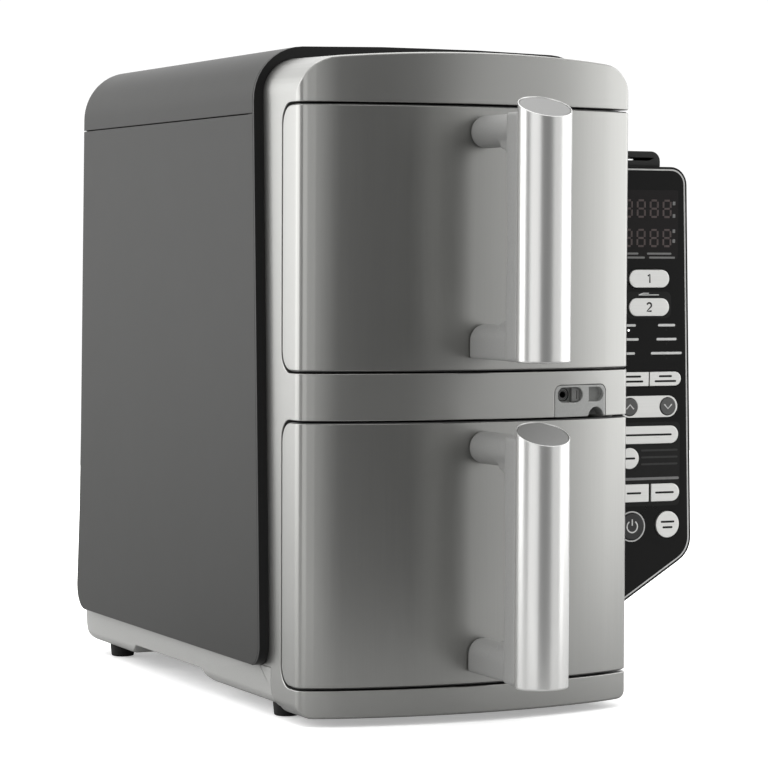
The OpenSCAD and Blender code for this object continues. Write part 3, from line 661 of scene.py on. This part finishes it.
def make_world():
    """A soft studio dome: dark before the front, bright overhead and behind, and white where it is seen."""
    world = bpy.data.worlds.new("studio")
    bpy.context.scene.world = world
    world.use_nodes = True
    tree = world.node_tree
    dome = tree.nodes["Background"]
    place = tree.nodes.new("ShaderNodeTexCoord")
    lean = tree.nodes.new("ShaderNodeVectorMath")
    lean.operation = "DOT_PRODUCT"
    tree.links.new(place.outputs["Generated"], lean.inputs[0])
    lean.inputs[1].default_value = (0.0, 0.5, 0.8)
    span = tree.nodes.new("ShaderNodeMapRange")
    span.inputs["From Min"].default_value = -0.5
    span.inputs["From Max"].default_value = 0.95
    tree.links.new(lean.outputs["Value"], span.inputs["Value"])
    ramp = tree.nodes.new("ShaderNodeValToRGB")
    while len(ramp.color_ramp.elements) < len(WORLD_STOPS):
        ramp.color_ramp.elements.new(0.5)
    for element, (position, level) in zip(ramp.color_ramp.elements, WORLD_STOPS):
        element.position = position
        element.color = (level, level, level, 1.0)
    tree.links.new(span.outputs["Result"], ramp.inputs["Fac"])
    tree.links.new(ramp.outputs["Color"], dome.inputs["Color"])
    seen = tree.nodes.new("ShaderNodeBackground")
    seen.inputs["Color"].default_value = (1.0, 1.0, 1.0, 1.0)
    seen.inputs["Strength"].default_value = 1.05
    ray = tree.nodes.new("ShaderNodeLightPath")
    mix = tree.nodes.new("ShaderNodeMixShader")
    tree.links.new(ray.outputs["Is Camera Ray"], mix.inputs["Fac"])
    tree.links.new(dome.outputs["Background"], mix.inputs[1])
    tree.links.new(seen.outputs["Background"], mix.inputs[2])
    tree.links.new(mix.outputs["Shader"], tree.nodes["World Output"].inputs["Surface"])


# Each softbox: name, turn from straight in front towards the right in degrees, distance, size and power
SOFTBOXES = [
    ("left_box", -122, 2.3, (2.6, 2.0), 37),
    ("left_fill", -44, 2.5, (2.0, 2.0), 16),
    ("right_fill", 32, 2.5, (1.25, 2.0), 7),
    ("right_box", 80, 2.3, (2.66, 2.0), 38),
]


def make_light():
    make_world()
    middle = (0.0, 0.0, 0.19)
    for name, turn, away, size, power in SOFTBOXES:
        angle = math.radians(turn)
        place = (away * math.sin(angle), -away * math.cos(angle), 0.5)
        area_light(name, place, middle, size, power)
    area_light("overhead", (0.0, 0.4, 2.5), middle, (3.0, 2.4), 30)
    bpy.context.scene.view_settings.view_transform = "Standard"


# ---- The bulged block that the fascia and both drawer fronts are cut from ----


def front_block(name, inset, edge_r):
    """Front profile and plan bulge in one closed mesh, its upper and lower front edges rounded by edge_r."""
    half = FASCIA_HALF - inset
    turns = [math.radians(a) for a in (90, 82, 74, 66, 57, 48, 38, 27, 14, 0)]
    ends = {round(half - r * (1 - math.sin(t)), 2) for r in (FASCIA_TOP_R, CORNER_R) for t in turns}
    ends = [x for i, x in enumerate(sorted(ends, reverse=True)) if i == 0 or x < half - 0.02]
    inner = half - FASCIA_TOP_R
    steps = 16
    xs = ends + [inner - 2 * inner * i / steps for i in range(1, steps)] + [-x for x in reversed(ends)]
    bend = 5
    levels = 24
    rows = []
    for x in xs:
        y, (nx, ny) = plan_y(x, inset)
        front = Vector((nx, ny, 0))
        column = []
        for top in (False, True):
            z, (mx, mz) = profile_z(x, inset, top)
            cap = Vector((mx, 0, mz))
            middle = Vector((x, y, z)) - (front + cap) * (edge_r / (1 + front.dot(cap)))
            spread = []
            for i in range(bend + 1):
                mixed = front.slerp(cap, i / bend) if front.dot(cap) < 0.9999 else front
                point = middle + mixed * edge_r
                if top:
                    point.z += FASCIA_RISE * point.y / FASCIA_REAR
                spread.append(point)
            column.append(spread)
        low, high = column
        climb = [low[0].lerp(high[0], i / levels) for i in range(1, levels)]
        rear_low = Vector((low[-1].x, FASCIA_REAR, low[-1].z))
        climbed = FASCIA_RISE * (1 - high[-1].y / FASCIA_REAR)
        rear_high = Vector((high[-1].x, FASCIA_REAR, high[-1].z + climbed))
        rows.append([rear_low] + low[::-1] + climb + high + [rear_high])
    n = len(rows[0])
    verts = [tuple(p) for row in rows for p in row]
    faces = []
    for i in range(len(rows) - 1):
        for j in range(n - 1):
            faces.append((i * n + j, i * n + j + 1, (i + 1) * n + j + 1, (i + 1) * n + j))
    # side faces, from the last column back to the rear plane
    for i in (0, len(rows) - 1):
        base = len(verts)
        verts += [(p.x, FASCIA_REAR, p.z) for p in rows[i]]
        for j in range(n - 1):
            faces.append((i * n + j, i * n + j + 1, base + j + 1, base + j))
    obj = mesh_object(name, verts, faces, merge=0.005)
    bm = bmesh.new()
    bm.from_mesh(obj.data)
    bmesh.ops.dissolve_degenerate(bm, edges=bm.edges, dist=0.00001)
    rim = [e for e in bm.edges if e.is_boundary]
    bmesh.ops.contextual_create(bm, geom=rim)
    bmesh.ops.recalc_face_normals(bm, faces=bm.faces)
    bm.to_mesh(obj.data)
    bm.free()
    return obj


def pocket(name, middle, half_h, rear_y, r):
    """A drawer's outline in the side view, pulled right across the front."""
    outline = [(-30, middle - half_h)]
    outline += arc(rear_y - r, middle - half_h + r, r, 270, 360, 10)
    outline += arc(rear_y - r, middle + half_h - r, r, 0, 90, 10)
    outline += [(-30, middle + half_h)]
    return prism(name, outline, "x", -FASCIA_HALF - 20, FASCIA_HALF + 20)


def make_fascia():
    fascia = front_block("fascia_moulding", 0.0, 1.4)
    hollow = prism("hollow", front_profile(WALL), "y", PLATE_Y + WALL, FASCIA_REAR + 10)
    seam = [(FASCIA_REAR + 9, 0), (FASCIA_REAR + 9, PANEL_LOW), (SEAM_REAR, PANEL_LOW)]
    seam += arc(SEAM_FRONT, SEAM_BEND_Z, SEAM_BEND_R, 0, -90, 8) + [(SEAM_FRONT, 0)]
    cut(fascia, hollow, prism("seam", seam, "x", -200, 200))
    lo, hi = node_box("upper_pan")
    window = (hi.x - lo.x) / 2 + WINDOW_MARGIN
    for middle in TIERS.values():
        cut(fascia, pocket("pocket", middle, DRAWER_HALF_H + GAP, PLATE_Y, WRAP_R + 1))
        cut(fascia, box("window", -window, window, 20, 200, middle - WINDOW_HALF_H, middle + WINDOW_HALF_H))
    lo, hi = node_box("probe_insert")
    port = [(lo.x - 0.15, lo.z - 2), (hi.x + 0.15, lo.z - 2)]
    port += arc(hi.x - 4, hi.z - 4, 4.15, 0, 90, 6) + arc(lo.x + 4, hi.z - 4, 4.15, 90, 180, 6)
    cut(fascia, prism("port", port, "y", -20, 26))
    tidy(fascia, corners=80)
    bevel(fascia, 0.55, 3)
    smooth(fascia)
    piece(fascia, "cabinet", "fascia_silver", MATERIALS["fascia_silver"], "fascia")


def front_profile(inset):
    low = FASCIA_LOW_R - inset
    x, z = FASCIA_HALF - FASCIA_LOW_R, FASCIA_LOW + FASCIA_LOW_R
    top = arched(FASCIA_HALF, FASCIA_TOP, FASCIA_ARCH_R, FASCIA_TOP_R, inset)
    return arc(x, z, low, 270, 360, 10) + top + arc(-x, z, low, 180, 270, 10)


def make_drawer_fronts():
    for tier, middle in TIERS.items():
        front = front_block(tier + "_drawer_skin", 0.0, 1.4)
        keep(front, pocket("outline", middle, DRAWER_HALF_H, WRAP_Y, WRAP_R))
        cut(front, front_block("inside", SKIN, 1.0))
        tidy(front)
        bevel(front, 0.6, 3)
        smooth(front)
        piece(front, tier + "_drawer", "drawer_steel", MATERIALS["drawer_steel"], tier + "_drawer_front")
        seal = front_block(tier + "_drawer_seal", 1.2, 1.0)
        keep(seal, pocket("outline", middle, DRAWER_HALF_H + SEAL, WRAP_Y - 1, WRAP_R))
        cut(seal, front_block("inside", 2.6, 1.0))
        tidy(seal)
        smooth(seal)
        piece(seal, tier + "_drawer", "frame_plastic", MATERIALS["frame_plastic"])


# ---- Cabinet ----


def side_outline():
    """Side view of a painted side panel, from the seam round its two lower corners."""
    top = SEAM_Z - SEAM_GAP
    front = front_edge_y(PANEL_LOW + LOW_FRONT_R) + RIM
    line = [(front_edge_y(top) + RIM, top)]
    line += arc(front + LOW_FRONT_R, PANEL_LOW + LOW_FRONT_R, LOW_FRONT_R, 180, 270, 12)
    line += arc(REAR_EDGE[0][0] - LOW_REAR_R, PANEL_LOW + LOW_REAR_R, LOW_REAR_R, 270, 360, 12)
    return line + REAR_EDGE[:3] + [(rear_edge_y(top), top)]


def make_side_panels():
    for side, name in ((-1, "left"), (1, "right")):
        faces = sorted((side * CABINET_HALF, side * (CABINET_HALF - SHEET)))
        panel = prism(name + "_side_sheet", side_outline(), "x", *faces)
        bevel(panel, 0.4, 3)
        smooth(panel)
        piece(panel, "cabinet", "cabinet_paint", MATERIALS["cabinet_paint"], name + "_side_panel")


def make_top_cover():
    """One bent sheet from seam to seam over the top."""
    rings = []
    for inset in (0.0, SHEET):
        line = arched(CABINET_HALF, CABINET_TOP, TOP_ARCH_R, TOP_EDGE_R, inset)
        x = CABINET_HALF - inset
        rings.append([(x, SEAM_Z)] + line + [(-x, SEAM_Z)])
    outline = rings[0] + rings[1][::-1]
    front = [(x, front_edge_y(z) + RIM, z) for x, z in outline]
    rear = [(x, rear_edge_y(z), z) for x, z in outline]
    n, half = len(outline), len(rings[0])
    verts = front + rear
    faces = [(i, (i + 1) % n, n + (i + 1) % n, n + i) for i in range(n)]
    for i in range(half - 1):
        j = n - 1 - i
        faces += [(i, i + 1, j - 1, j), (n + i, n + i + 1, n + j - 1, n + j)]
    cover = mesh_object("top_sheet", verts, faces)
    bevel(cover, 0.4, 3)
    smooth(cover)
    piece(cover, "cabinet", "cabinet_paint", MATERIALS["cabinet_paint"], "top_cover")


def make_cabinet():
    make_side_panels()
    make_top_cover()
    refined("rim_trim", 0.3)
    refined("base_tray", 0.8, 3)
    refined("rear_cover", 0)
    for node, edge_r in (("feet", 0.8), ("cord_gland", 0.6)):
        refined(node, edge_r)
    make_rear_screws()


def make_rear_screws():
    """Cross-head screws that hold the rear cover."""
    heads = []
    for x in (-96, 96):
        for z in (70, 330):
            y = rear_edge_y(z) - 1.0
            # each ring's radius and how far it stands out of the cover
            levels = ((3.6, -1.0), (3.6, 0.2), (3.2, 0.7), (1.5, 0.85))
            head = skin("head", [[(u, y + out, v) for u, v in arc(x, z, r, 0, 345, 23)] for r, out in levels])
            for wide, tall in ((2.0, 0.35), (0.35, 2.0)):
                cut(head, box("slot", x - wide, x + wide, y + 0.3, y + 2, z - tall, z + tall))
            heads.append(head)
    screws = join("rear_screws", heads)
    smooth(screws)
    piece(screws, "cabinet", "screw_steel", MATERIALS["screw_steel"])


# ---- Handles ----


def oval(inset, n=96):
    turns = [2 * math.pi * i / n for i in range(n)]
    return [((BAR_A - inset) * math.cos(t), BAR_Y + (BAR_B - inset) * math.sin(t)) for t in turns]


def level_ring(inset, z):
    return [(x, y, z) for x, y in oval(inset)]


def slant_ring(inset, middle, drop):
    """An oval ring that lies drop below the slanted cut at the bar's top."""
    return [(x, y, middle + BAR_TOP + CUT_SLOPE * (y - BAR_Y) - drop) for x, y in oval(inset)]


def round_over(r, n=4):
    """Inset and drop of points round a quarter circle, from the side to the end."""
    turns = [math.radians(90 * i / n) for i in range(n + 1)]
    return [(r * (1 - math.cos(t)), r * (1 - math.sin(t))) for t in turns]


def make_bar(tier, middle):
    low = middle + BAR_LOW
    seat = 3.0
    rings = [level_ring(inset, low + drop) for inset, drop in reversed(round_over(1.2))]
    rings += [slant_ring(inset, middle, drop) for inset, drop in round_over(0.3)]
    rings += [slant_ring(BAR_WALL - inset, middle, drop) for inset, drop in reversed(round_over(0.1))]
    rings.append(slant_ring(BAR_WALL, middle, seat))
    bar = skin(tier + "_handle_tube", rings)
    smooth(bar, 50)
    piece(bar, tier + "_drawer", "handle_chrome", MATERIALS["handle_chrome"], tier + "_handle_bar")


def make_cap(tier, middle):
    rim = BAR_WALL + 0.06
    rings = [slant_ring(rim, middle, 2.9)]
    rings += [slant_ring(rim + inset, middle, 0.12 + drop) for inset, drop in round_over(0.9)]
    cap = skin(tier + "_handle_end", rings)
    smooth(cap, 50)
    piece(cap, tier + "_drawer", "handle_cap_grey", MATERIALS["handle_cap_grey"], tier + "_handle_cap")


def make_spine(tier, middle):
    """The moulded back and legs, with a dished rear and soft blends where they meet."""
    spine = copy_of(tier + "_handle_spine", tier + "_handle_moulding")
    low, high = (middle + z for z in SPINE_SPAN)
    reach = WEB_REACH
    mid = (low + high) / 2
    dish = arc(SPINE_REAR + DISH_R - SPINE_DISH, mid, DISH_R, 180 - DISH_TURN, 180 + DISH_TURN, 20)
    outline = dish + [(SPINE_REAR + 2, dish[-1][1]), (SPINE_REAR + 2, dish[0][1])]
    cut(spine, prism("dish", outline, "x", -30, 30))
    for z, way in ((high, 1), (low, -1)):
        bend = arc(SPINE_REAR + reach, z - way * reach, reach, 90 * way, 180 * way, 8)
        web = [(SPINE_REAR - 6, z + 5 * way), (SPINE_REAR + reach, z + 5 * way)] + bend
        web.append((SPINE_REAR - 6, z - way * (reach + 4)))
        unite(spine, prism("web", web, "x", -WEB_HALF, WEB_HALF))
    step = spine.modifiers.new("blend", "REMESH")
    step.mode = "VOXEL"
    step.voxel_size = 0.75 * MM
    step.use_smooth_shade = True
    apply_modifiers(spine)
    step = spine.modifiers.new("soften", "SMOOTH")
    step.factor = 0.6
    step.iterations = 20
    apply_modifiers(spine)
    step = spine.modifiers.new("thin_out", "DECIMATE")
    step.ratio = 0.3
    apply_modifiers(spine)
    smooth(spine, 60)
    piece(spine, tier + "_drawer", "handle_grey", MATERIALS["handle_grey"], tier + "_handle_spine")


def make_handles():
    for tier, middle in TIERS.items():
        make_bar(tier, middle)
        make_cap(tier, middle)
        make_spine(tier, middle)


# ---- Inside the drawers ----


def make_drawer_insides():
    for tier in TIERS:
        refined(tier + "_drawer_frame", 0.5)
        refined(tier + "_pan", 0.4)
        refined(tier + "_crisper_plate", 0.3)


# ---- Probe port ----


def make_probe_port():
    refined("probe_insert", 0.5, 3)
    refined("probe_jack", 0.3)
    refined("probe_slider", 0.25)
    lo, hi = node_box("probe_jack")
    x, z = (lo.x + hi.x) / 2, (lo.z + hi.z) / 2
    # Two thin flat grey rings on the black jack's face are painted highlights along its ring edges
    rings = []
    for r in (2.3, 3.1):
        outer, inner = arc(x, z, r + 0.25, 0, 360, 36), arc(x, z, r - 0.25, 0, 360, 36)
        rings.append(band("ring", outer, inner, lo.y - 0.1, lo.y + 0.1))
    piece(join("jack_ring_highlights", rings), "cabinet", "slider_grey", MATERIALS["slider_grey"])


# ---- Control panel ----

# The lens outline's lean and chamfer, in degrees, and its corner radii
PANEL_LEAN = 1.3
PANEL_CHAMFER = 31.8
PANEL_TIP_R = 6.0
PANEL_LOW_R = 17.0
PANEL_TOP_R = 11.0
PANEL_LEAN_W = 4.8
PRINT = 0.05


def panel_outline(inset):
    x0, x1, low, top = LENS_LO.x, LENS_HI.x, LENS_LO.z, LENS_HI.z
    tilt = math.radians(PANEL_CHAMFER)
    tip = (x0 + PANEL_TIP_R, low + PANEL_TIP_R)
    corner_x = x1 - PANEL_LOW_R
    grow = PANEL_LOW_R - PANEL_TIP_R
    run = (corner_x - tip[0] + grow * math.sin(tilt)) / math.cos(tilt)
    corner_z = tip[1] + run * math.sin(tilt) + grow * math.cos(tilt)
    line = [(x0 + inset, low + inset)]
    line += arc(*tip, PANEL_TIP_R - inset, 270, 270 + PANEL_CHAMFER, 4)
    line += arc(corner_x, corner_z, PANEL_LOW_R - inset, 270 + PANEL_CHAMFER, 360 + PANEL_LEAN, 12)
    line += arc(x1 - PANEL_LEAN_W - PANEL_TOP_R, top - PANEL_TOP_R, PANEL_TOP_R - inset, PANEL_LEAN, 90, 10)
    return line + [(x0 + inset, top - inset)]


def band(name, outer, inner, y0, y1):
    """The strip between two outlines with equal numbers of points, y0 to y1 deep."""
    rings = [[(x, y, z) for x, z in line] for line, y in ((outer, y1), (outer, y0), (inner, y0), (inner, y1))]
    return skin(name, rings + rings[:1], caps=False)


def pill(x0, x1, z0, z1, r=None):
    return round_rect(x0, z0, x1, z1, (z1 - z0) / 2 - 0.01 if r is None else r)


def disc(x, z, r):
    return arc(x, z, r, 0, 348.75, 31)


def prints(name, outlines, ink_name, y, body="cabinet", slot="panel_black"):
    """Flat printed shapes on the face at y."""
    parts = [prism("mark", line, "y", y - PRINT, y + PRINT / 2) for line in outlines]
    return piece(join(name, parts), body, slot, INKS[ink_name])


def strokes(name, lines, r, ink_name, y, body="cabinet", slot="panel_black"):
    """Drawn lines: low rounded ridges along polylines of X-Z points."""
    curve = bpy.data.curves.new(name, "CURVE")
    curve.dimensions = "3D"
    curve.bevel_depth = r * MM
    curve.bevel_resolution = 2
    curve.use_fill_caps = True
    for line in lines:
        spline = curve.splines.new("POLY")
        spline.points.add(len(line) - 1)
        for point, (x, z) in zip(spline.points, line):
            point.co = (*at(x, 0, z), 1)
    drawn = bpy.data.objects.new(name + "_curve", curve)
    bpy.context.scene.collection.objects.link(drawn)
    mesh = bpy.data.meshes.new_from_object(drawn.evaluated_get(bpy.context.evaluated_depsgraph_get()))
    bpy.data.objects.remove(drawn)
    base = at(0, 0, 0).y
    for vert in mesh.vertices:
        vert.co.y = base + (y + (vert.co.y - base) / MM * 0.25) * MM
    obj = bpy.data.objects.new(name, mesh)
    bpy.context.scene.collection.objects.link(obj)
    smooth(obj, 60)
    return piece(obj, body, slot, INKS[ink_name])


# Ends of a digit's seven segments, across in widths and up in half heights
SEGMENTS = [((0, 0), (1, 0)), ((0, 1), (1, 1)), ((0, 2), (1, 2)), ((0, 0), (0, 1)), ((1, 0), (1, 1)),
            ((0, 1), (0, 2)), ((1, 1), (1, 2))]


def seven_segments(x0, x1, z0, z1):
    """The seven bars of one display digit, each a short line."""
    trim = 0.13
    lines = []
    for a, b in SEGMENTS:
        ends = [Vector((x0 + (x1 - x0) * u, z0 + (z1 - z0) * v / 2)) for u, v in (a, b)]
        lines.append([ends[0].lerp(ends[1], trim), ends[1].lerp(ends[0], trim)])
    return lines


def make_display():
    lo, hi = node_box("panel_display")
    prints("display_glass", [pill(lo.x, hi.x, lo.z, hi.z, 0.8)], "patch_dark", FACE_Y, slot="display_dark")
    digits = []
    for z0, z1 in ((289.2, 300.3), (271.5, 282.5)):
        for i in range(4):
            x = 122.7 + 9.0 * i
            digits += seven_segments(x + 1.0, x + 6.0, z0 + 0.6, z1 - 0.6)
    strokes("display_digits", digits, 0.62, "segment_off", FACE_Y - PRINT, slot="display_dark")
    bars = [pill(x, x + w, z - 0.6, z + 0.6) for z, row in (
        (267.6, ((121.5, 12), (139.5, 17))), (265.2, ((121, 17), (141, 18)))) for x, w in row]
    bars += [pill(157.2, 159.0, z, z + 2.2, 0.3) for z in (297.0, 289.4, 280.2, 274.2)]
    prints("display_marks", bars, "print_grey", FACE_Y - PRINT, slot="display_dark")


def make_panel_prints():
    face = FACE_Y
    outline = [band("inlay", panel_outline(1.4), panel_outline(2.3), face - PRINT, face + PRINT)]
    piece(join("panel_inlay", outline), "cabinet", "panel_black", INKS["line_silver"])
    prints("mode_patch", [pill(118.5, 163.5, 114.3, 165.3, 3.0)], "patch_grey", face)
    prints("zone_patch", [pill(125.0, 156.6, 228.4, 244.6, 4.0)], "patch_grey", face)
    icon = [[(134, 242.6), (144, 242.6), (148, 242.6)], [(134, 242.6), (137, 243.6), (141, 243.6)]]
    strokes("probe_icon", icon, 0.3, "print_white", face - PRINT)
    labels = []
    for z, widths in ((224.2, (10, 12)), (215.7, (14, 14)), (207.2, (9, 21.5))):
        for x, w in zip((127.2, 153.6), widths):
            labels.append(pill(x - w / 2, x + w / 2, z - 0.75, z + 0.75))
    prints("mode_labels", labels, "print_white", face)
    lamps = [(153.6, 221.3), (153.6, 213.0), (153.7, 204.0), (127.3, 213.2), (127.3, 204.0)]
    prints("mode_lamps_off", [disc(x, z, 0.5) for x, z in lamps], "patch_grey", face)
    prints("mode_lamp_on", [disc(127.2, 221.2, 0.75)], "lamp_white", face)
    hint_bars = [pill(136.5, 162.0, z - 0.6, z + 0.6) for z in (148.2, 144.0, 139.8)]
    prints("hint_labels", hint_bars, "patch_hint", face - PRINT)
    prints("section_label", [pill(119.0, 163.0, 130.2, 131.8)], "print_grey", face - PRINT)
    ring = band("ring", arc(*POWER, 9.3, 0, 360, 48), arc(*POWER, 8.5, 0, 360, 48), face - 0.3, face + PRINT)
    piece(ring, "cabinet", "panel_black", INKS["line_silver"])


def make_arrow_plate():
    """A raised silver plate round the two arrow keys."""
    up, down = key_middle("up_key"), key_middle("down_key")
    plate = prism("arrow_plate", pill(121.2, 161.3, 168.3, 181.4), "y", FACE_Y - 0.45, FACE_Y + PRINT)
    for x, z in (up, down):
        cut(plate, prism("hole", disc(x, z, 5.6), "y", FACE_Y - 2, FACE_Y + 2))
    bevel(plate, 0.15, 2)
    smooth(plate)
    piece(plate, "cabinet", "key_silver", MATERIALS["key_silver"])


def key_middle(node):
    lo, hi = node_box(node)
    return (lo.x + hi.x) / 2, (lo.z + hi.z) / 2


POWER = key_middle("power_key")
# Bars that stand for each key's words: offsets from the key's middle in X and Z, and length
KEY_LABELS = {"temp_key": ((0, 1.6, 11), (0, -1.4, 14)), "time_key": ((0, 1.6, 9), (0, -1.4, 15)),
              "stack_key": ((0, 0, 32),), "mode_key": ((0, 0, 7.5),), "sync_key": ((0.5, 0, 10),),
              "match_key": ((-0.5, 0, 13),), "start_key": ((0, 1.6, 9.5), (0, -1.8, 7))}


def make_keys():
    for body in frame["bodies"]:
        if body.endswith("_key"):
            refined(body, 0.35, 3)
    for node, bars in KEY_LABELS.items():
        x, z = key_middle(node)
        lines = [pill(x + dx - w / 2, x + dx + w / 2, z + dz - 0.62, z + dz + 0.62) for dx, dz, w in bars]
        prints(node + "_label", lines, "print_black", KEY_Y, node, "key_silver")
    x, z = key_middle("top_zone_key")
    one = [[(x - 1.1, z + 1.6), (x + 0.3, z + 2.5), (x + 0.3, z - 2.5)]]
    strokes("top_zone_numeral", one, 0.55, "print_black", KEY_Y, "top_zone_key", "key_silver")
    x, z = key_middle("bottom_zone_key")
    two = arc(x, z + 1.1, 1.5, 165, -30, 8) + [(x - 1.5, z - 2.4), (x + 1.6, z - 2.4)]
    strokes("bottom_zone_numeral", [two], 0.55, "print_black", KEY_Y, "bottom_zone_key", "key_silver")
    for node, way in (("up_key", 1), ("down_key", -1)):
        x, z = key_middle(node)
        chevron = [[(x - 2.6, z - 1.3 * way), (x, z + 1.4 * way), (x + 2.6, z - 1.3 * way)]]
        strokes(node + "_chevron", chevron, 0.4, "print_white", KEY_Y, node, "arrow_grey")
    x, z = POWER
    symbol = [arc(x, z, 3.6, 125, 415, 24), [(x, z + 0.6), (x, z + 4.4)]]
    strokes("power_symbol", symbol, 0.42, "print_white", KEY_Y, "power_key", "key_black")


def make_panel():
    refined("panel_lens", 0.45, 3)
    refined("panel_housing", 0.8, 3)
    refined("probe_dock", 0.5)
    make_display()
    make_panel_prints()
    make_arrow_plate()
    make_keys()


# ---- Build ----

make_camera()
make_stage()
make_light()
dress_nodes()
make_fascia()
make_drawer_fronts()
make_cabinet()
make_handles()
make_drawer_insides()
make_probe_port()
make_panel()
